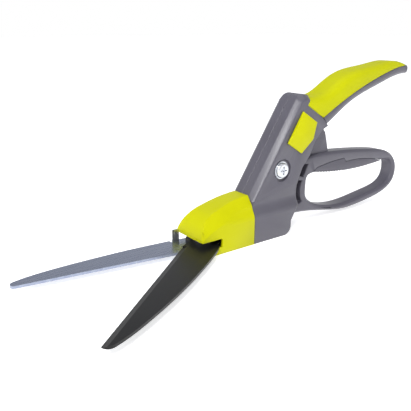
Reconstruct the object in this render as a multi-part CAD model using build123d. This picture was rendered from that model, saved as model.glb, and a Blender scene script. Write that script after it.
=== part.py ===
from build123d import *
import os
from math import cos, radians, sin, tan

os.makedirs("parts", exist_ok=True)

# Grass shears, in millimetres. They are drawn with the blades' pivot at X 0, Y 0 and the flat base at
# Z 0: +X runs forward to the blade tips, +Y is the tool's left side, +Z is up. save() then moves each
# piece so that the origin is the middle of the casing's flat base.

# Driving dimensions
BASE_MIDDLE_X = -50.0          # middle of the casing's flat base, behind the blades' pivot
SEAM_X = -34.5                 # plane on which the blade head swivels against the casing
SEAM_GAP = 0.3
SWIVEL_Z = 19.5                # height of the swivel axis, which is also the drive rod's axis
PIVOT_X, PIVOT_Z = -63.9, 50.9  # the squeeze lever's pivot
LEVER_SWING = 13.5             # degrees from open to closed
BLADE_OPEN = 38.7              # moving blade's direction at rest, from +X towards +Y
BLADE_SWING = 40.0
FIXED_BLADE = -5.6             # fixed blade's direction
WALL = 2.2                     # moulded wall
PANEL_HALF = 12.4              # half width of the column and the handle's front
BODY_HALF = 15.9               # half width of the lower body and the nose
LEVER_HALF = 7.0               # half thickness of the squeeze lever
FLAP_HALF = 3.2
RUN = 0.05                     # radial clearance of a running fit
ROD_R = 3.0
BLADE_THICK = 1.8
FIXED_Z = 4.2                  # underside of the fixed blade
MOVING_Z = FIXED_Z + BLADE_THICK + 0.05
BOLT_R = 4.0
LOCK_STROKE = 5.0

# Worked out from them
ARM_DROP = PIVOT_Z - SWIVEL_Z
ROD_TRAVEL = 2 * ARM_DROP * tan(radians(LEVER_SWING / 2))
CRANK_R = ROD_TRAVEL / 2 / sin(radians(BLADE_SWING / 2))
TIP_X = PIVOT_X + ROD_TRAVEL / 2
COLUMN_LEAN = 33.3             # degrees back from the vertical
UP = (-sin(radians(COLUMN_LEAN)), cos(radians(COLUMN_LEAN)))
BACK = (-cos(radians(COLUMN_LEAN)), -sin(radians(COLUMN_LEAN)))


def save(name, shape):
    """Write one piece, moved to the frame whose origin is the middle of the base."""
    moved = Pos(-BASE_MIDDLE_X, 0, 0) * shape
    moved.label = name
    export_step(moved, f"parts/{name}.step")


def side(outline, y0, y1):
    """Extrude an outline drawn in (x, z) from y0 to y1."""
    return extrude(Pos(0, y0, 0) * (Plane.XZ * outline), amount=y1 - y0, dir=(0, 1, 0))


def plan(outline, z0, z1):
    """Extrude an outline drawn in (x, y) from z0 to z1."""
    return extrude(Pos(0, 0, z0) * outline, amount=z1 - z0, dir=(0, 0, 1))


def section(outline, x0, x1):
    """Extrude an outline drawn in (y, z) from x0 to x1."""
    return extrude(Pos(x0, 0, 0) * (Plane.YZ * outline), amount=x1 - x0, dir=(1, 0, 0))


def polygon(*points):
    return make_face(Polyline(*points, close=True))


def outline(*curves):
    return make_face(Wire(curves))


def block(x0, x1, y0, y1, z0, z1):
    return Pos((x0 + x1) / 2, (y0 + y1) / 2, (z0 + z1) / 2) * Box(x1 - x0, y1 - y0, z1 - z0)


def disc(x, z, radius, y0, y1):
    """Cylinder along Y."""
    return side(Pos(x, z) * Circle(radius), y0, y1)


def rod(radius, x0, x1, y=0.0, z=SWIVEL_Z):
    """Cylinder along X."""
    return section(Pos(y, z) * Circle(radius), x0, x1)


def post(x, y, radius, z0, z1):
    """Cylinder along Z."""
    return plan(Pos(x, y) * Circle(radius), z0, z1)


# ---------------------------------------------------------------- shared outlines

def arch(inset=0.0):
    """Half-round-shouldered section of the lower body and the nose, in (y, z)."""
    low, high = BODY_HALF - inset, PANEL_HALF - inset
    right = Spline((low, 19), (high, 30.5), tangents=((0, 1), (0, 1)))
    left = Spline((-high, 30.5), (-low, 19), tangents=((0, -1), (0, -1)))
    return outline(
        Line((-low, inset), (low, inset)), Line((low, inset), (low, 19)), right,
        Line((high, 30.5), (high, 62)), Line((high, 62), (-high, 62)), Line((-high, 62), (-high, 30.5)),
        left, Line((-low, 19), (-low, inset)),
    )


CASING_FRONT = SEAM_X - SEAM_GAP / 2
FOOT = (CASING_FRONT, 35.2)
FRONT_TOP = (FOOT[0] + UP[0] * 85, FOOT[1] + UP[1] * 85)
CASING_OUTLINE = [
    (CASING_FRONT, 0), FOOT, FRONT_TOP, (-91.4, 104.2), (-87.6, 97), (-105.5, 86), (-111.5, 79.4), (-104.5, 76.6),
    (-97.5, 69),
    (-92.6, 58.5), (-84.3, 49), (-79.4, 38), (-78.6, 22), (-72, 11), (-72, 0),
]


def casing_outline():
    """Lower body, leaning column and crown, with a rounded crown and rear foot."""
    face = polygon(*CASING_OUTLINE)
    for place, radius in ((FRONT_TOP, 9), ((-72, 0), 7)):
        corner = min(face.vertices(), key=lambda v: abs(v.X - place[0]) + abs(v.Y - place[1]))
        face = fillet(corner, radius)
    return face


def shifted(points, distance):
    """Move a chain of points sideways, to its left."""
    moved = []
    for i, (x, z) in enumerate(points):
        before, after = points[max(i - 1, 0)], points[min(i + 1, len(points) - 1)]
        run = Vector(after[0] - before[0], after[1] - before[1]).normalized()
        moved.append((x - run.Y * distance, z + run.X * distance))
    return moved


# Upper handle: top and underside in (x, z), half width and corner radius of each section
HANDLE_RIBS = [
    ((-82, 103.4), (-91, 72), 11.9, 6.5),
    ((-95, 102.7), (-107, 76.6), 12.1, 6.5),
    ((-106.5, 103.4), (-117.5, 82), 12.25, 6.5),
    ((-125, 112.4), (-134, 92), 12.3, 6.5),
    ((-150, 120.6), (-157, 101.6), 12.1, 6),
    ((-180, 124.2), (-184, 109.4), 11.2, 5.2),
    ((-206, 123.6), (-208, 114.2), 9.8, 4),
    ((-224, 120.4), (-225, 113.6), 8.4, 3),
]
TAIL_X = -214.8


def handle_solid(inset=0.0):
    """Swept-back wing with a rounded section, thick at the front and thin at the rounded tail."""
    sections = []
    for (top_x, top_z), (under_x, under_z), half, radius in HANDLE_RIBS:
        rise = Vector(top_x - under_x, 0, top_z - under_z)
        middle = Vector((top_x + under_x) / 2, 0, (top_z + under_z) / 2)
        plane = Plane(origin=middle, x_dir=(0, 1, 0), z_dir=rise.normalized().cross(Vector(0, 1, 0)))
        height = max(rise.length - 2 * inset, 2.4)
        corner = min(max(radius - inset, 0.8), 0.42 * height)
        sections.append(plane * RectangleRounded(2 * (half - inset), height, corner))
    tail_end = TAIL_X + inset
    tail = Spline((-200, 13), (tail_end, 0), (-200, -13), tangents=((-1, 0), (1, 0)))
    cut = outline(Line((-60, 13), (-200, 13)), tail, Line((-200, -13), (-60, -13)), Line((-60, -13), (-60, 13)))
    return loft(sections) & plan(cut, 50, 140)


def below_grip_line():
    """Everything under the seam between the soft grip and the grey frame, as an (x, z) outline."""
    line = Spline((-105.5, 86), (-119.5, 93.3), (-135, 100.6), (-151.5, 107.2), (-169, 113), (-187, 117.8), (-198, 120))
    return outline(
        Line((-91, 104.5), (-87, 97)), Line((-87, 97), (-105.5, 86)), line, Line((-198, 120), (-222, 122.2)),
        Line((-222, 122.2), (-222, 60)), Line((-222, 60), (-60, 60)), Line((-60, 60), (-60, 125)),
        Line((-60, 125), (-91, 125)), Line((-91, 125), (-91, 104.5)),
    )


# ---------------------------------------------------------------- casing (root body)

SCREW_SPOTS = [(-50, 5.6), (-66.5, 6.4), (-80.6, 95.4), (-47.6, 41.5), (-128.5, 94.0), (-186, 114.4)]
SCREW_BORE_R, SCREW_BOSS_R, SCREW_HEAD_R = 1.4, 4.0, 2.9
LOCK_CAP = [(-81.7, 93.4), (-97.3, 83.8), (-92.6, 72.1), (-82, 61.6), (-67.2, 70.9)]
LOCK_X, LOCK_Z = PIVOT_X + UP[0] * 34, PIVOT_Z + UP[1] * 34
TONGUE_BEHIND = 3.9            # tongue's centre behind the closed lever's lug
TONGUE = (
    LOCK_X + BACK[0] * TONGUE_BEHIND + UP[0] * LOCK_STROKE,
    LOCK_Z + BACK[1] * TONGUE_BEHIND + UP[1] * LOCK_STROKE,
)
WASHER_R, WASHER_THICK = 6.6, 0.8
RECESS_R = 8.4
RECESS_Y = 10.4                # floor of the pivot screw's recess
GRIP_THICK = 2.6
BUSH_OUTER_R, PIN_R = 5.0, 3.0
SPINDLE_R = 8.0
BUSHING_R = 10.5
DETENT_R = 12.5
FRONT_WALL = 4.0
CROWN_FLOOR = 97.5             # the crown is solid above this height


def lock_slot(extra=0.0):
    """Slot for the lock's stem, along the column."""
    middle = Pos(TONGUE[0] - UP[0] * LOCK_STROKE / 2, TONGUE[1] - UP[1] * LOCK_STROKE / 2)
    return middle * Rot(0, 0, COLUMN_LEAN + 90) * SlotOverall(8 + LOCK_STROKE + extra, 3.6 + extra)


def chamfered_column(half, outline_face, highest=200):
    """Column slab whose front and crown are bevelled on both sides, up to a height."""
    column = side(outline_face, -half, half)
    for hand in (-1, 1):
        panel = column.faces().sort_by(Axis.Y)[0 if hand < 0 else -1]
        front = [
            e for e in panel.edges()
            if 36 < e.center().Z < highest and ahead(e.center()) > 8 - (PANEL_HALF - half)
        ]
        column = chamfer(front, 3.6, 4.8, reference=panel)
    return column


def ahead(point):
    """Distance in front of the lever's pivot, square to the column."""
    return -(point.X - PIVOT_X) * BACK[0] - (point.Z - PIVOT_Z) * BACK[1]


def casing_solid():
    """Both halves in one piece, before the split: column, lower body and handle frame."""
    column = chamfered_column(PANEL_HALF, casing_outline())
    lower = section(arch(), -90, CASING_FRONT) & side(casing_outline(), -20, 20) & block(-90, -30, -20, 20, 0, 31)
    frame = handle_solid() & side(below_grip_line(), -20, 20)
    core = handle_solid(GRIP_THICK)
    return (column + lower) + (frame + core)


def cavity():
    """Room inside for the lever, rod and spring, open at the back where the lever comes out."""
    inner = offset(casing_outline(), -WALL, kind=Kind.INTERSECTION)
    inner &= Pos(-75, CROWN_FLOOR - 60) * Rectangle(150, 120)
    column = chamfered_column(PANEL_HALF - WALL, inner, CROWN_FLOOR - 2)
    lower = section(arch(WALL), -90, CASING_FRONT - FRONT_WALL) & side(inner, -20, 20) & block(-90, -30, -20, 20, 0, 31)
    mouth = side(polygon((-60, 9.5), (-90, 9.5), (-100, 60), (-98, 75), (-72, 75), (-60, 52)), -LEVER_HALF - 0.5, LEVER_HALF + 0.5)
    handle = handle_solid(GRIP_THICK + 2.0)
    flap_slot = side(polygon((-90, 60), (-119.6, 70), (-119.6, 84), (-90, 96)), -FLAP_HALF - 0.6, FLAP_HALF + 0.6)
    return column, lower, mouth, handle, flap_slot


def casing_half(hand):
    """One moulded half: hand is 1 for the left, -1 for the right."""
    keep = block(-300, 0, 0, 30, -5, 140) if hand > 0 else block(-300, 0, -30, 0, -5, 140)
    solid = casing_solid() & keep
    half = solid
    for room in cavity():
        half -= room
    bosses = disc(PIVOT_X, PIVOT_Z, 8.6, LEVER_HALF + 0.3, PANEL_HALF) + disc(PIVOT_X, PIVOT_Z, 5.8, -PANEL_HALF, -9.4)
    for x, z in SCREW_SPOTS:
        bosses += disc(x, z, SCREW_BOSS_R, -15, 15)
    for z0, z1 in ((31.8, 34.2), (34.85, 37)):
        bosses += block(-44.6, -40.4, hand * 9.6 - 1.2, hand * 9.6 + 1.2, z0, z1)
    half += bosses & solid
    half -= disc(PIVOT_X, PIVOT_Z, PIN_R + RUN, -20, 20)
    half -= rod(BUSHING_R, -60, -30)
    for x, z in SCREW_SPOTS:
        if hand > 0:
            half -= disc(x, z, 1.1, -1, 7)
        else:
            half -= disc(x, z, SCREW_BORE_R + 0.1, -20, 1)
            half -= disc(x, z, SCREW_HEAD_R + 0.1, -20, -screw_seat(x))
    if hand > 0:
        half -= disc(PIVOT_X, PIVOT_Z, RECESS_R, RECESS_Y, 20)
        half -= side(lock_slot(0.8), 4, 20)
    else:
        half -= disc(PIVOT_X, PIVOT_Z, 7.0, -20, -PANEL_HALF + 1.2)
    return half


def screw_seat(x):
    """Distance from the middle plane to the seat of a casing screw's head."""
    return 6.2 if x < -100 else 9.6


def top_grip():
    """Soft lime cover over the handle's core."""
    shell = handle_solid() - side(below_grip_line(), -20, 20) - handle_solid(GRIP_THICK)
    shell -= side(casing_outline(), -20, 20)
    return shell.solids().sort_by(SortBy.VOLUME)[-1]


def hex_prism(width, y0, y1, x, z):
    return side(Pos(x, z) * RegularPolygon(width / 2, 6, major_radius=False), y0, y1)


# Pivot screw, washer, nut and the bush that the lever turns on

def pivot_screw():
    head = disc(PIVOT_X, PIVOT_Z, 5.9, RECESS_Y + WASHER_THICK, RECESS_Y + WASHER_THICK + 2.4)
    head = fillet(head.edges().sort_by(Axis.Y)[-1], 1.9)
    shank = disc(PIVOT_X, PIVOT_Z, PIN_R, -PANEL_HALF - 0.6, RECESS_Y + WASHER_THICK)
    cross = Pos(PIVOT_X, 0, PIVOT_Z) * (Box(6.4, 40, 1.2) + Box(1.2, 40, 6.4))
    cross &= block(-100, 0, RECESS_Y + WASHER_THICK + 0.6, 20, 0, 100)
    return head + shank - cross


def pivot_washer():
    return disc(PIVOT_X, PIVOT_Z, WASHER_R, RECESS_Y, RECESS_Y + WASHER_THICK) - disc(PIVOT_X, PIVOT_Z, PIN_R, 0, 20)


def pivot_nut():
    floor = -PANEL_HALF + 1.2
    nut = disc(PIVOT_X, PIVOT_Z, 6.6, floor - 0.8, floor) + hex_prism(9, floor - 3.4, floor, PIVOT_X, PIVOT_Z)
    return nut - disc(PIVOT_X, PIVOT_Z, PIN_R, -PANEL_HALF - 0.6, 0)


def pivot_bush():
    return disc(PIVOT_X, PIVOT_Z, BUSH_OUTER_R, -9.4, LEVER_HALF + 0.3) - disc(PIVOT_X, PIVOT_Z, PIN_R, -20, 20)


def casing_screws():
    """The same self-tapping screw at each boss."""
    screws = []
    for x, z in SCREW_SPOTS:
        seat = -screw_seat(x)
        head = disc(x, z, SCREW_HEAD_R - 0.2, seat - 1.7, seat)
        shank = disc(x, z, 1.1, seat, 6)
        slot = block(x - 0.4, x + 0.4, seat - 3, seat - 0.9, z - 2, z + 2)
        slot += block(x - 2, x + 2, seat - 3, seat - 0.9, z - 0.4, z + 0.4)
        screws.append(head + shank - slot)
    return Compound(screws)


# ---------------------------------------------------------------- squeeze lever

HUB_R = 9.0
PAD_GAP = 0.18
SPRING_WIRE_R = 0.8
SPRING_MEAN_R = 6.9


def loop_outer():
    over = Spline(
        (-84, 54.5), (-97, 55.8), (-128, 56.1), (-158, 53.8), (-186, 50.4), (-204, 45),
        tangents=((-1, 0.1), (-1, -0.55)),
    )
    tail = Spline((-204, 45), (-215.5, 27), (-204, 11.4), tangents=((-1, -0.55), (1, -0.45)))
    under = Spline((-204, 11.4), (-175, 5.1), (-146, 3.2), (-120, 6.8), (-100, 10), (-82, 11.4), tangents=((1, -0.45), (1, 0.05)))
    front = Polyline((-82, 11.4), (-80.5, 24), (-81.5, 42), (-84, 54.5))
    return outline(over, tail, under, *front.edges())


def loop_inner():
    over = Spline((-104, 41.3), (-116, 41.2), (-137, 39.2), (-165, 38.6), (-200, 39.4), tangents=((-1, 0.1), (-1, -0.1)))
    tail = Spline((-200, 39.4), (-209.6, 29), (-200, 16.5), tangents=((-1, -0.1), (1, -0.4)))
    under = Spline((-200, 16.5), (-180, 12.6), (-142, 8.9), (-121, 11.1), (-107.7, 15.4), tangents=((1, -0.4), (1, 0.5)))
    front = Spline((-107.7, 15.4), (-97.6, 24), (-97.2, 34), (-104, 41.3), tangents=((1, 0.5), (-1, 0.1)))
    return outline(over, tail, under, front)


def fork_arm():
    """Arm from the hub down to the groove of the drive rod's spool, split round the rod."""
    lean = (TIP_X - PIVOT_X) / ARM_DROP
    neck_x, neck_z = PIVOT_X + lean * (ARM_DROP - 8), SWIVEL_Z + 8
    arm = side(
        polygon(
            (PIVOT_X - 7, PIVOT_Z), (neck_x - 2.8, neck_z), (TIP_X - 2.8, SWIVEL_Z),
            (TIP_X + 2.8, SWIVEL_Z), (neck_x + 2.8, neck_z), (PIVOT_X + 7, PIVOT_Z),
        ),
        -LEVER_HALF, LEVER_HALF,
    )
    arm += disc(TIP_X, SWIVEL_Z, 3.85, -LEVER_HALF, LEVER_HALF)
    return arm - block(-80, -50, -ROD_R - 0.4, ROD_R + 0.4, 0, SWIVEL_Z + 7.8)


FLAP = [
    (-123.7, 54), (-123.7, 56.2), (-121.4, 65.1), (-119, 72.6), (-117.2, 74.4), (-116.4, 82), (-98, 88),
    (-66.5, 60), (-70, 50),
]


def root_slots():
    """Two slots through the loop's root, one above the other with a small bridge between."""
    front = Spline((-91.6, 37.4), (-89.4, 29), (-92.4, 20))
    rear = Spline((-88.6, 18.6), (-85, 29), (-87.2, 38.4))
    low = outline(front, Line((-92.4, 20), (-88.6, 18.6)), rear, Line((-87.2, 38.4), (-91.6, 37.4)))
    high = polygon((-97.2, 50), (-92.2, 50.6), (-88.2, 41.6), (-92.6, 40))
    return side(high, -20, 20) + side(low, -20, 20)


def loop_lever():
    """Finger loop, its web, hub, flap, locking lug and drive arm, moulded in one piece."""
    ring = side(loop_outer(), -LEVER_HALF, LEVER_HALF) - side(loop_inner(), -20, 20)
    ring = chamfer(ring.edges().filter_by(lambda e: e.center().X < -96), 2)
    web = polygon((-84, 54.5), (-72, 58.6), (-60, 57), (-62, 44), (-72, 36), (-80.5, 24), (-81.5, 42))
    lug_x, lug_z = lock_lug_place()
    lever = ring + side(web, -LEVER_HALF, LEVER_HALF) + disc(PIVOT_X, PIVOT_Z, HUB_R, -LEVER_HALF, LEVER_HALF)
    lever += fork_arm() + side(polygon(*FLAP), -FLAP_HALF, FLAP_HALF) + disc(lug_x, lug_z, 1.8, 0, 6.4)
    lever -= disc(PIVOT_X, PIVOT_Z, BUSH_OUTER_R + RUN, -20, 20)
    lever -= disc(PIVOT_X, PIVOT_Z, SPRING_MEAN_R + 2.2, -20, -2.0)
    leg_x = PIVOT_X + SPRING_MEAN_R
    lever -= block(leg_x - SPRING_WIRE_R - 0.05, leg_x + 6, -20, -2.0, PIVOT_Z - 12, PIVOT_Z + 2)
    return lever - root_slots() - pad_shape()


def lock_lug_place():
    """Lever's lug at rest: the locking place turned back by the lever's swing."""
    lean = radians(COLUMN_LEAN + LEVER_SWING)
    return PIVOT_X - 34 * sin(lean), PIVOT_Z + 34 * cos(lean)


def pad_shape(gap=0.0):
    """Room for the soft insert on the underside of the loop's top arm."""
    g = gap
    top = Spline((-104.5 - g, 42.4), (-111, 46 - g), (-134, 48.6 - g), (-140 + g, 48.9 - g), tangents=((-0.4, 1), (-1, 0.1)))
    step = Polyline((-140 + g, 48.9 - g), (-143 + g, 45.6 - g), (-150, 45.8 - g))
    rear = Spline((-150, 45.8 - g), (-176, 43.6 - g), (-192 + 4 * g, 39.9), tangents=((-1, 0), (-1, -0.3)))
    under = Spline((-192 + 4 * g, 39.9), (-165, 38.2), (-137, 38.6), (-116, 40.6), (-104.5 - g, 42.4))
    return side(outline(top, *step.edges(), rear, under), -LEVER_HALF - 1, LEVER_HALF + 1)


def finger_pad():
    """The soft insert, with finger ribs on its underside."""
    pad = pad_shape(PAD_GAP) & block(-300, 0, -LEVER_HALF, LEVER_HALF, 0, 60)
    for i in range(9):
        x = -111.5 - 3.3 * i
        pad -= disc(x, 40.9 + 0.093 * (x + 111.5), 1.15, -20, 20)
    return pad


def return_spring():
    """Torsion spring round the bush: one leg bears on the lever, one on the casing's front boss."""
    turns, pitch = 3, 1.75
    start = -9.0 + SPRING_WIRE_R
    path = Helix(pitch=pitch, height=pitch * turns, radius=SPRING_MEAN_R)
    wire = sweep((path ^ 0) * Circle(SPRING_WIRE_R), path)
    coil = Pos(PIVOT_X, start + pitch * turns, PIVOT_Z) * Rot(90, 0, 0) * wire
    leg_x = PIVOT_X + SPRING_MEAN_R
    up = plan(Pos(leg_x, start) * Circle(SPRING_WIRE_R), PIVOT_Z, PIVOT_Z + 7)
    down = plan(Pos(leg_x, start + pitch * turns) * Circle(SPRING_WIRE_R), PIVOT_Z - 11, PIVOT_Z)
    return coil + up + down


# ---------------------------------------------------------------- lock on the left panel

def lock_slider():
    """Five-sided thumb cap with a cross ridge, its stem and the tongue that holds the closed lever."""
    base_y, ridge_y, slope, reach = PANEL_HALF + 0.15, PANEL_HALF + 3.0, 0.125, 18
    foot_y = ridge_y - slope * reach
    gable = polygon((-reach, base_y), (reach, base_y), (reach, foot_y), (0, ridge_y), (-reach, foot_y))
    along = Plane(origin=(-82, 0, 77.4), x_dir=(UP[0], 0, UP[1]), z_dir=(BACK[0], 0, BACK[1]))
    cap = side(polygon(*LOCK_CAP), base_y, ridge_y) & extrude(along * gable, amount=20, both=True)
    stem = side(Pos(*TONGUE) * Rot(0, 0, COLUMN_LEAN + 90) * SlotOverall(8, 3.6), 8.6, base_y + 0.2)
    tongue = disc(TONGUE[0], TONGUE[1], 1.8, FLAP_HALF + 0.6, 8.6)
    return cap + stem + tongue


def lock_clip():
    """Retaining plate pressed on the stem inside the panel."""
    plate = side(Pos(*TONGUE) * Rot(0, 0, COLUMN_LEAN + 90) * SlotOverall(11, 6.4), 8.8, 9.9)
    return plate - side(Pos(*TONGUE) * Rot(0, 0, COLUMN_LEAN + 90) * SlotOverall(8, 3.6), 0, 20)


# ---------------------------------------------------------------- swivel and drive

CLIP_GROOVE_R = 7.2
HEAD_BACK = SEAM_X + SEAM_GAP / 2
PLATE_BACK = HEAD_BACK + 3.6


def swivel_bush():
    return rod(BUSHING_R, CASING_FRONT - FRONT_WALL - 2, CASING_FRONT) - rod(SPINDLE_R + RUN, -60, 0)


def swivel_spindle():
    """Flanged hollow spindle that carries the blade head."""
    spindle = rod(SPINDLE_R, -46.4, PLATE_BACK) + rod(11, PLATE_BACK, PLATE_BACK + 2.2)
    spindle -= rod(20, -45.2, -44.0) - rod(CLIP_GROOVE_R, -46, -43)
    return spindle - rod(ROD_R + RUN, -60, 0)


def detent_disc():
    disc_x = (-44.0, -41.2)
    wheel = rod(DETENT_R, *disc_x) - rod(SPINDLE_R, -60, 0)
    for i in range(8):
        turn = radians(90 + 45 * i)
        wheel -= rod(2.0, -60, 0, 12.6 * cos(turn), SWIVEL_Z + 12.6 * sin(turn))
    return wheel


def spindle_clip():
    ring = rod(10.2, -45.2, -44.0) - rod(CLIP_GROOVE_R, -60, 0)
    return ring - block(-60, 0, -4, 4, 0, SWIVEL_Z)


def detent_spring():
    """Bowed leaf whose nose drops into the disc's notches."""
    low = [(-10, 34.25), (-5, 34.25), (-0.8, 31.0), (0, 30.7), (0.8, 31.0), (5, 34.25), (10, 34.25)]
    high = [(y, z + 0.55) for y, z in reversed(low)]
    return section(polygon(*low, *high), -43.8, -41.4)


def push_rod():
    """Drive rod with the spool that the lever's fork pulls."""
    spool = TIP_X
    shape = rod(ROD_R, spool - 6.9, -4.6)
    for x in (spool - 6, spool + 4):
        shape += rod(6.5, x, x + 2)
    return shape - rod(20, -10, -4.5) + rod(2.2, -10, -4.6)


YOKE_Z = 12.4


def drive_yoke():
    """Bent plate that joins the rod to the crank pin: an upright with a slotted foot."""
    upright = block(-10, -7.6, -8, 6, YOKE_Z, SWIVEL_Z + 5.5)
    foot = plan(polygon((-10, -13.2), (7.4, -13.2), (7.4, -5.8), (-4, 3), (-10, 3)), YOKE_Z, YOKE_Z + 2)
    pin_x, pin_y = crank_place(BLADE_OPEN)
    slot = block(pin_x - CRANK_PIN_R - 0.2, pin_x + CRANK_PIN_R + 0.2, -20, pin_y + CRANK_PIN_R + 0.3, 0, 30)
    return upright + foot - slot - rod(2.2, -20, 0)


def rod_nut():
    nut = section(Pos(0, SWIVEL_Z) * RegularPolygon(3.6, 6, major_radius=False), -7.6, -5.0)
    return nut - rod(2.2, -20, 0)


# ---------------------------------------------------------------- blades

CRANK_PIN_R = 2.1
CRANK_AT = BLADE_SWING / 2 - 90 - BLADE_OPEN   # pin's direction from the moving blade's own axis
ROOT_R = 13.4


def crank_place(direction):
    """Place of the crank pin when the moving blade points in this direction."""
    turn = radians(direction + CRANK_AT)
    return CRANK_R * cos(turn), CRANK_R * sin(turn)


def edge_bevel(start, end, top, depth, width):
    """Wedge that grinds an edge: cuts from the face at height top down by depth, over the width."""
    (x0, y0), (x1, y1) = start, end
    along = Vector(x1 - x0, y1 - y0)
    run = along.normalized()
    inward = Vector(-run.Y, run.X)
    lift = 0.4
    low, face = Vector(x0, y0, top - depth), Vector(x0, y0, top)
    wedge = make_face(Polyline(
        low, face + inward * width, face + inward * width * (1 + lift / depth) + Vector(0, 0, lift),
        face - inward * 2 + Vector(0, 0, lift), low - inward * 2, close=True,
    ))
    return extrude(wedge, amount=along.length, dir=(run.X, run.Y, 0))


MOVING_EDGE = [(20, -11.0), (147.0, -12.6)]


def moving_blade():
    """Upper blade, drawn along +X with its cutting edge towards -Y, then turned to its open place."""
    edge = Line(MOVING_EDGE[0], MOVING_EDGE[1])
    tip = Spline(MOVING_EDGE[1], (147.6, -9.2), (144.6, -6.0), tangents=((0.6, 1), (-1, 0.42)))
    back = Spline((144.6, -6.0), (119.7, 1.3), (89.4, 7.3), (50, 12.5), (26, 14.3), (8, 13.2), tangents=((-1, 0.42), (-1, -0.3)))
    root = Line((8, 13.2), (0, 0))
    face = outline(edge, tip, back, root, Line((0, 0), (8, -9)), Line((8, -9), MOVING_EDGE[0]))
    blade = plan(face, MOVING_Z, MOVING_Z + BLADE_THICK) + post(0, 0, ROOT_R, MOVING_Z, MOVING_Z + BLADE_THICK)
    blade -= edge_bevel((18, MOVING_EDGE[0][1] + 0.025), (149, -12.625), MOVING_Z + BLADE_THICK, 1.3, 3.8)
    blade -= post(0, 0, BOLT_R + RUN, 0, 20)
    pin = radians(CRANK_AT)
    blade -= post(CRANK_R * cos(pin), CRANK_R * sin(pin), CRANK_PIN_R, 0, 20)
    return Rot(0, 0, BLADE_OPEN) * blade


def crank_pin():
    x, y = crank_place(BLADE_OPEN)
    top = MOVING_Z + BLADE_THICK
    return post(x, y, CRANK_PIN_R, MOVING_Z + 0.05, YOKE_Z + 2.6) + post(x, y, CRANK_PIN_R + 0.5, top, top + 1.2)


FIXED_RIVETS = [(-9.5, 6.5), (-9.5, -6.5)]
BRACKET_THICK = 1.1
BRACKET_Z = FIXED_Z - BRACKET_THICK
EAR_X0, EAR_X1, EAR_Y, EAR_TOP = 13.9, 19.7, -11.5, 15.0


def fixed_blade():
    """Lower blade, drawn along +X with its cutting edge towards +Y, then turned to its place."""
    edge = Line((30, 9.2), (134.6, 4.2))
    tip = Spline((134.6, 4.2), (136.2, 1.4), (134.6, -1.6), tangents=((1, -0.6), (-1, -0.7)))
    back = Spline((134.6, -1.6), (115.9, -6.7), (88.8, -10.1), (59.8, -12.2), (20.8, -12.7), tangents=((-1, -0.45), (-1, 0)))
    face = outline(
        edge, tip, back, Line((20.8, -12.7), (-13, -11)), Line((-13, -11), (-13, 11)), Line((-13, 11), (14, 11)),
        Line((14, 11), (30, 9.2)),
    )
    blade = plan(face, FIXED_Z, FIXED_Z + BLADE_THICK)
    blade = fillet(blade.edges().filter_by(Axis.Z).sort_by(Axis.X)[0:2], 4)
    blade -= post(0, 0, BOLT_R, 0, 20)
    for x, y in FIXED_RIVETS:
        blade -= post(x, y, 1.6, 0, 20)
    return Rot(0, 0, FIXED_BLADE) * blade - block(EAR_X0 - 0.7, EAR_X1 + 0.7, -30, EAR_Y + 0.3, 0, 20)


def blade_rivets():
    """Flush rivets that hold the fixed blade and its bracket to the head's base."""
    rivets = [post(x, y, 1.6, 1.2, FIXED_Z + BLADE_THICK - 0.05) + post(x, y, 2.8, 0.5, 1.2) for x, y in FIXED_RIVETS]
    return Rot(0, 0, FIXED_BLADE) * Compound(rivets)


def blade_bracket():
    """Plated plate under the fixed blade; its ear turns up through a notch in the blade's far edge."""
    ear_back = EAR_Y - BRACKET_THICK
    plate = plan(
        polygon((-13, -10), (11, -11), (EAR_X0, ear_back), (EAR_X1, ear_back), (23, -8), (22, 4.5), (10, 10), (-13, 10)),
        BRACKET_Z, FIXED_Z,
    )
    ear = block(EAR_X0, EAR_X1, ear_back, EAR_Y, BRACKET_Z, EAR_TOP)
    ear = fillet(ear.edges().filter_by(Axis.Y).sort_by(Axis.Z)[-2:], 1.2)
    bracket = plate + ear - post(0, 0, BOLT_R, 0, 20)
    for x, y in FIXED_RIVETS:
        turned = Rot(0, 0, FIXED_BLADE) * Pos(x, y)
        bracket -= Pos(turned.position.X, turned.position.Y, 0) * Cylinder(1.6, 40)
    return bracket


def blade_bolt():
    top = MOVING_Z + BLADE_THICK + 0.05 + 0.8
    head = plan(RegularPolygon(6.5, 6, major_radius=False), top, top + 2.6)
    head = chamfer(head.edges().group_by(Axis.Z)[-1], 0.5)
    return head + post(0, 0, BOLT_R, 0.6, top)


def blade_washer():
    low = MOVING_Z + BLADE_THICK + 0.05
    return post(0, 0, 8.2, low, low + 0.8) - post(0, 0, BOLT_R, 0, 20)


NUT_TOP = 2.6


def blade_nut():
    return plan(RegularPolygon(6.0, 6, major_radius=False), 0.4, NUT_TOP) - post(0, 0, BOLT_R, 0, 20)


# ---------------------------------------------------------------- blade head

LIP_Z, HOOD_Z = 5.4, 11.6
NOTCH_X = -4.6
HEAD_SCREWS = [(-21, 10.6), (-21, -10.6)]
BASE_TOP = BRACKET_Z


NOSE_FRONT = 13.0
NOSE_ROOF = [
    (HEAD_BACK, 36.0), (-27, 35.5), (-15, 33.5), (-6, 30.9), (2, 28.1), (8, 23.7), (11, 19.6), (12.5, 16.0),
    (NOSE_FRONT, 13.0),
]
# Along the nose: x, height of the shoulder facet where it would meet the full width, its slope
SHOULDER = [
    (-60, 24.2, 1.396), (HEAD_BACK, 24.2, 1.396), (-26, 23.9, 1.38), (-18, 23.2, 1.37), (-11, 22.3, 1.37),
    (-6, 21.4, 1.38), (-2, 20.3, 1.44), (2, 18.8, 1.54), (5, 17.4, 1.64), (8, 15.9, 1.80), (10, 14.8, 1.95),
    (11.5, 13.6, 2.15), (NOSE_FRONT, 12.2, 2.5), (20, 5.0, 4.1),
]


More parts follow.
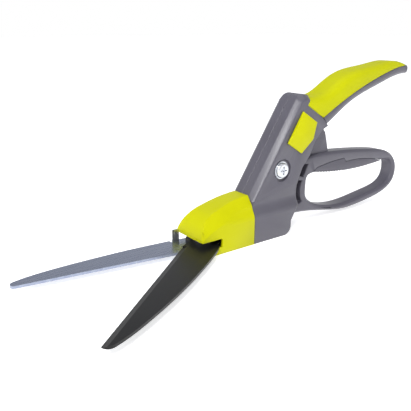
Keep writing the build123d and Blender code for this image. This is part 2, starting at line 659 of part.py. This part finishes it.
def shoulder_solid(inset=0.0):
    """Everything under the two shoulder facets, which turn steeper towards the front corners."""
    sections = []
    for x, z, slope in SHOULDER:
        z -= inset * (1 + slope ** 2) ** 0.5
        ridge, foot = z + slope * BODY_HALF, z - slope * 4.1
        corners = polygon((-20, -60), (-20, foot), (0, ridge), (20, foot), (20, -60))
        sections.append(Pos(x, 0, 0) * (Plane.YZ * corners))
    return loft(sections, ruled=True)


def nose_solid(inset=0.0):
    """Whale-backed nose; its back section is the column's foot."""
    roof = shifted(NOSE_ROOF, -inset)
    back, front = roof[0], (NOSE_FRONT - inset, roof[-1][1])
    profile = outline(
        Spline(*roof[:-1], front, tangents=((1, 0), (0.06, -1))), Line(front, (front[0] - 0.4, inset)),
        Line((front[0] - 0.4, inset), (back[0], inset)), Line((back[0], inset), back),
    )
    return side(profile, -20, 20) & section(arch(inset), -60, 20) & shoulder_solid(inset)


def head_cover():
    cover = nose_solid() - nose_solid(2.0)
    for x, y in HEAD_SCREWS:
        cover += post(x, y, 3.0, FIXED_Z + 2.2, 24.5)
    cover -= block(HEAD_BACK - 1, 11, 2.0 - BODY_HALF, BODY_HALF - 2.0, -1, 5)
    cover -= block(HEAD_BACK - 1, HEAD_BACK + 5, -11.8, 11.8, 3, 25.6)
    cover -= block(NOTCH_X, 30, 0, 30, LIP_Z, HOOD_Z)
    cover -= block(2, 30, -30, 0.1, BRACKET_Z - 0.2, HOOD_Z)
    cover -= block(8.5, 30, -30, 30, -1, HOOD_Z)
    for x, y in HEAD_SCREWS:
        cover -= post(x, y, 1.1, 0, 18)
    return cover


def head_base():
    """Base that closes the nose and carries the blades and the spindle."""
    base = block(HEAD_BACK + 0.2, 8.4, 2.05 - BODY_HALF, BODY_HALF - 2.05, 0.2, BASE_TOP)
    back = polygon((-11.6, BASE_TOP), (-11.6, 25.4), (-8.4, 29.8), (8.4, 29.8), (11.6, 25.4), (11.6, BASE_TOP))
    base += section(back, HEAD_BACK + 0.2, PLATE_BACK)
    for x, y in HEAD_SCREWS:
        base += post(x, y, 3.0, BASE_TOP, FIXED_Z + 2.15)
        base -= post(x, y, 1.5, -1, 20)
        base -= post(x, y, 3.0, -1, 1.6)
    base -= rod(SPINDLE_R, -60, 0)
    base -= post(0, 0, BOLT_R, -1, 20)
    base -= plan(RegularPolygon(6.1, 6, major_radius=False), -1, NUT_TOP)
    for x, y in FIXED_RIVETS:
        turned = (Rot(0, 0, FIXED_BLADE) * Pos(x, y)).position
        base -= post(turned.X, turned.Y, 1.6, -1, 20)
        base -= post(turned.X, turned.Y, 2.9, -1, 1.2)
    return base


def head_screws():
    screws = []
    for x, y in HEAD_SCREWS:
        head = post(x, y, 2.7, 0.35, 1.6)
        slot = block(x - 1.8, x + 1.8, y - 0.35, y + 0.35, 0, 0.95) + block(x - 0.35, x + 0.35, y - 1.8, y + 1.8, 0, 0.95)
        screws.append(head + post(x, y, 1.1, 1.6, 16) - slot)
    return Compound(screws)


PIECES = {
    "left_casing": lambda: casing_half(1),
    "right_casing": lambda: casing_half(-1),
}
for piece in (
    top_grip, pivot_screw, pivot_washer, pivot_nut, pivot_bush, casing_screws, swivel_bush, detent_spring,
    loop_lever, finger_pad, return_spring, lock_slider, lock_clip,
    swivel_spindle, detent_disc, spindle_clip, head_base, head_cover, head_screws,
    fixed_blade, blade_rivets, blade_bracket, blade_bolt, blade_washer, blade_nut,
    push_rod, drive_yoke, rod_nut, moving_blade, crank_pin,
):
    PIECES[piece.__name__] = piece

for name, make in PIECES.items():
    save(name, make())
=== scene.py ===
from math import radians

import bmesh
import bpy
import numpy as np
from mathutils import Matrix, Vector


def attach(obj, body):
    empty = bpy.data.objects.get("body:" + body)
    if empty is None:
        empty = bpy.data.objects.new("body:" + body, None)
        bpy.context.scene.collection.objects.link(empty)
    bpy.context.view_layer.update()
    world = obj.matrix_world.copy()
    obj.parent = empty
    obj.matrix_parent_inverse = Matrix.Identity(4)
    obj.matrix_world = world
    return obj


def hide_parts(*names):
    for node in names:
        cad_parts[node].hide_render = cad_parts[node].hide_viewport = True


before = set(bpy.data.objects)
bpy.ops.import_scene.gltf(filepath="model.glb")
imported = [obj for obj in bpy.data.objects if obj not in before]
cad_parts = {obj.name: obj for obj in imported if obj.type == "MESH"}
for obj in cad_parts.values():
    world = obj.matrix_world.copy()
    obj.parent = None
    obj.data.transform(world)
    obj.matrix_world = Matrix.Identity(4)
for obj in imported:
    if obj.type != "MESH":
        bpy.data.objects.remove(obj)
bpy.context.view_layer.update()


# ------------------------------------------------------------------ view
# The shears stand on a pale table in a light tent, seen from their front left and a little above, through
# a 48 mm lens and close enough that the near blade looks long. EYE is in millimetres.
MM = 0.001
EYE = Vector((270.1, 296.4, 152.7)) * MM
LOOK = Vector((-0.5692, -0.7619, -0.3090))
LENS_MM, SENSOR_MM = 48.18, 36.0

scene = bpy.context.scene
scene.view_settings.view_transform = "Standard"
camera = bpy.data.objects.new("camera", bpy.data.cameras.new("camera"))
camera.data.lens = LENS_MM
camera.data.sensor_width = SENSOR_MM
camera.data.clip_start = 0.01
camera.location = EYE
camera.rotation_euler = LOOK.to_track_quat("-Z", "Y").to_euler()
scene.collection.objects.link(camera)
scene.camera = camera


def linear(hex_colour):
    """sRGB hex to a linear RGBA tuple."""
    values = np.array([int(hex_colour[i:i + 2], 16) for i in (0, 2, 4)]) / 255
    values = np.where(values <= 0.04045, values / 12.92, ((values + 0.055) / 1.055) ** 2.4)
    return (*values.tolist(), 1.0)


def add_node(tree, kind, inputs=None, **settings):
    """Add one node, give it its settings, and set its inputs or link sockets to them."""
    made = tree.nodes.new(kind)
    for key, value in settings.items():
        setattr(made, key, value)
    for key, value in (inputs or {}).items():
        if isinstance(value, bpy.types.NodeSocket):
            tree.links.new(value, made.inputs[key])
        else:
            made.inputs[key].default_value = value
    return made


def ramp(tree, value, low, high, start=0.35, end=0.65):
    """Blend between two hex colours as a value goes from start to end."""
    made = add_node(tree, "ShaderNodeValToRGB", {"Fac": value})
    for stop, place, colour in zip(made.color_ramp.elements, (start, end), (low, high)):
        stop.position, stop.color = place, linear(colour)
    return made.outputs["Color"]


def new_material(name):
    """A material with its tree, its shader and its Object coordinates."""
    made = bpy.data.materials.new(name)
    made.use_nodes = True
    tree = made.node_tree
    place = add_node(tree, "ShaderNodeTexCoord").outputs["Object"]
    return made, tree, tree.nodes["Principled BSDF"], place


# The table is a white laminate, a little self-lit so that it stays as pale as the tent around it.
TABLE_HALF = 8.0
corners = np.array([[-1, -1, 0], [1, -1, 0], [1, 1, 0], [-1, 1, 0]]) * TABLE_HALF
table_mesh = bpy.data.meshes.new("table")
table_mesh.from_pydata(corners.tolist(), [], [(0, 1, 2, 3)])
table = bpy.data.objects.new("table", table_mesh)
scene.collection.objects.link(table)
white_laminate, tree, shader, place = new_material("white_laminate")
cloud = add_node(tree, "ShaderNodeTexNoise", {"Vector": place, "Scale": 3.0})
tree.links.new(ramp(tree, cloud.outputs["Fac"], "F4F4F4", "F6F6F6"), shader.inputs["Base Color"])
shader.inputs["Roughness"].default_value = 0.7
shader.inputs["Specular IOR Level"].default_value = 0.2
shader.inputs["Emission Color"].default_value = linear("FFFFFF")
shader.inputs["Emission Strength"].default_value = 0.6
table_mesh.materials.append(white_laminate)


AIM = Vector((0, 0.02, 0.05))


def softbox(name, place, size, power):
    """Square area light aimed at the middle of the tool, in metres and watts."""
    lamp = bpy.data.lights.new(name, "AREA")
    lamp.size, lamp.energy = size, power
    made = bpy.data.objects.new(name, lamp)
    made.location = place
    made.rotation_euler = (AIM - Vector(place)).to_track_quat("-Z", "Y").to_euler()
    scene.collection.objects.link(made)


softbox("key_light", (0.58, 0.48, 0.72), 0.3, 6.5)
softbox("top_light", (-0.30, -0.1, 1.3), 0.9, 4.0)
softbox("front_light", (1.2, -0.2, 0.6), 0.7, 2.5)

world = bpy.data.worlds.new("light_tent")
world.use_nodes = True
tree = world.node_tree
direction = add_node(tree, "ShaderNodeTexCoord").outputs["Generated"]
height = add_node(tree, "ShaderNodeSeparateXYZ", {"Vector": direction}).outputs["Z"]
tree.links.new(ramp(tree, height, "FFFFFF", "B4B6BC", 0.12, 0.5), tree.nodes["Background"].inputs["Color"])
scene.world = world


# ------------------------------------------------------------------ casing halves
# Two ABS mouldings screwed together at the tool's middle plane. Their sharp corners are rounded over, as
# a moulding's are, which also leaves a fine V groove where the halves meet.
SEAM_MM = 0.002  # points closer than this are one point


def softened(node, body, width_mm, segments=2, sharp=32, join=0.6):
    """A copy of a CAD piece that replaces it: doubles merged, corners over sharp degrees bevelled.

    Facets within join degrees of one plane are joined first; with join=0 the triangles stay.
    """
    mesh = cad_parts[node].data.copy()
    mesh.name = node + "_rounded"
    work = bmesh.new()
    work.from_mesh(mesh)
    bmesh.ops.remove_doubles(work, verts=work.verts, dist=SEAM_MM * MM)
    if join:
        bmesh.ops.dissolve_limit(work, angle_limit=radians(join), verts=work.verts, edges=work.edges)
    for face in work.faces:
        face.smooth = True
    work.to_mesh(mesh)
    work.free()
    mesh.materials.clear()
    piece = bpy.data.objects.new(mesh.name, mesh)
    scene.collection.objects.link(piece)
    bevel = piece.modifiers.new("rounded_corners", "BEVEL")
    bevel.width = width_mm * MM
    bevel.segments = segments
    bevel.limit_method = "ANGLE"
    bevel.angle_limit = radians(sharp)
    bevel.use_clamp_overlap = False
    bevel.harden_normals = True
    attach(piece, body)
    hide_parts(node)
    return piece


def moulded(name, dark, light, roughness, grain_mm, depth_mm, strength=0.25, sheen=0.5):
    """Injection-moulded plastic: slow drift of colour between two hex values over a fine eroded grain."""
    made, tree, shader, place = new_material(name)
    shader.inputs["Specular IOR Level"].default_value = sheen
    drift = add_node(tree, "ShaderNodeTexNoise", {"Vector": place, "Scale": 18.0, "Detail": 3.0})
    tree.links.new(ramp(tree, drift.outputs["Fac"], dark, light), shader.inputs["Base Color"])
    polish = add_node(tree, "ShaderNodeMapRange", {
        "Value": drift.outputs["Fac"], "From Min": 0.3, "From Max": 0.7,
        "To Min": roughness - 0.04, "To Max": roughness + 0.05,
    })
    tree.links.new(polish.outputs["Result"], shader.inputs["Roughness"])
    grain = add_node(tree, "ShaderNodeTexNoise", {
        "Vector": place, "Scale": 1 / (grain_mm * MM), "Detail": 2.0,
    })
    bump = add_node(tree, "ShaderNodeBump", {
        "Height": grain.outputs["Fac"], "Strength": strength, "Distance": depth_mm * MM,
    })
    tree.links.new(bump.outputs["Normal"], shader.inputs["Normal"])
    return made


grey_abs = moulded("grey_abs", "504E57", "56545E", 0.36, 0.5, 0.03)
for node in ("left_casing", "right_casing"):
    softened(node, "casing", 0.5).data.materials.append(grey_abs)


# ------------------------------------------------------------------ squeeze loop
# The closed loop that the fingers squeeze, moulded in the casing's ABS and turning on the pivot screw.
# A softer grey pad is set into its upper inside.
softened("loop_lever", "lever", 0.5, join=0).data.materials.append(grey_abs)
grey_rubber = moulded("grey_rubber", "4F4D56", "55535C", 0.5, 0.4, 0.04)
softened("finger_pad", "lever", 0.25).data.materials.append(grey_rubber)


# ------------------------------------------------------------------ lime pieces
# The nose cover and the thumb lock are lime ABS mouldings. The grip on the handle's back is a soft lime
# rubber moulded over the casing.
lime_abs = moulded("lime_abs", "B9B900", "BFBF00", 0.4, 0.5, 0.02, sheen=0.12)
softened("head_cover", "head", 0.3, sharp=22, join=0).data.materials.append(lime_abs)
softened("lock_slider", "lock", 0.4).data.materials.append(lime_abs)
lime_rubber = moulded("lime_rubber", "B4B600", "BABC00", 0.6, 0.6, 0.05, sheen=0.12)
softened("top_grip", "casing", 0.6).data.materials.append(lime_rubber)


def dress(material, *names):
    """Give CAD nodes their finish."""
    for name in names:
        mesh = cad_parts[name].data
        mesh.materials.clear()
        mesh.materials.append(material)


# ------------------------------------------------------------------ inner plastic
# The nose's base, the swivel parts and the lock's clip are black nylon; the bush that they turn in is
# pale acetal.
black_nylon = moulded("black_nylon", "1E1D20", "252427", 0.5, 0.6, 0.03)
dress(black_nylon, "head_base", "swivel_spindle", "detent_disc", "lock_clip")
pale_acetal = moulded("pale_acetal", "C9C8C2", "D2D1CB", 0.35, 0.6, 0.01)
dress(pale_acetal, "swivel_bush")


# ------------------------------------------------------------------ metals
# Zinc-plated fasteners and drive, spring steel, a ground steel blade, a bright plated pressing under it,
# and a moving blade with a black coating.
def metal(name, dark, light, roughness, stretch=(1, 1, 1), scale=200.0):
    """Bare or plated metal: streaks between two hex values, drawn out by the stretch of the pattern."""
    made, tree, shader, place = new_material(name)
    shader.inputs["Metallic"].default_value = 1.0
    turned = add_node(tree, "ShaderNodeMapping", {"Vector": place, "Scale": stretch})
    lines = add_node(tree, "ShaderNodeTexNoise", {
        "Vector": turned.outputs["Vector"], "Scale": scale, "Detail": 4.0,
    })
    tree.links.new(ramp(tree, lines.outputs["Fac"], dark, light), shader.inputs["Base Color"])
    polish = add_node(tree, "ShaderNodeMapRange", {
        "Value": lines.outputs["Fac"], "From Min": 0.3, "From Max": 0.7,
        "To Min": roughness - 0.05, "To Max": roughness + 0.08,
    })
    tree.links.new(polish.outputs["Result"], shader.inputs["Roughness"])
    return made


zinc_plate = metal("zinc_plate", "C4C7CC", "E4E6EA", 0.28)
dress(
    zinc_plate, "pivot_screw", "pivot_washer", "pivot_nut", "pivot_bush", "casing_screws", "spindle_clip",
    "head_screws", "blade_rivets", "blade_bolt", "blade_washer", "blade_nut", "push_rod", "drive_yoke",
    "rod_nut", "crank_pin",
)
spring_steel = metal("spring_steel", "8C8F94", "A9ABB0", 0.3)
dress(spring_steel, "return_spring", "detent_spring")
ground_steel = metal("ground_steel", "8E95A9", "9BA2B3", 0.26, (1, 25, 1), 90.0)
dress(ground_steel, "fixed_blade")
chrome_plate = metal("chrome_plate", "D8DADF", "F2F3F5", 0.3, (1, 1, 0.1), 900.0)
dress(chrome_plate, "blade_bracket")

coated_steel, tree, shader, place = new_material("coated_steel")
film = add_node(tree, "ShaderNodeTexNoise", {"Vector": place, "Scale": 60.0, "Detail": 3.0})
tree.links.new(ramp(tree, film.outputs["Fac"], "0C0C0D", "101011"), shader.inputs["Base Color"])
shader.inputs["Roughness"].default_value = 0.42
shader.inputs["Specular IOR Level"].default_value = 0.3
dress(coated_steel, "moving_blade")
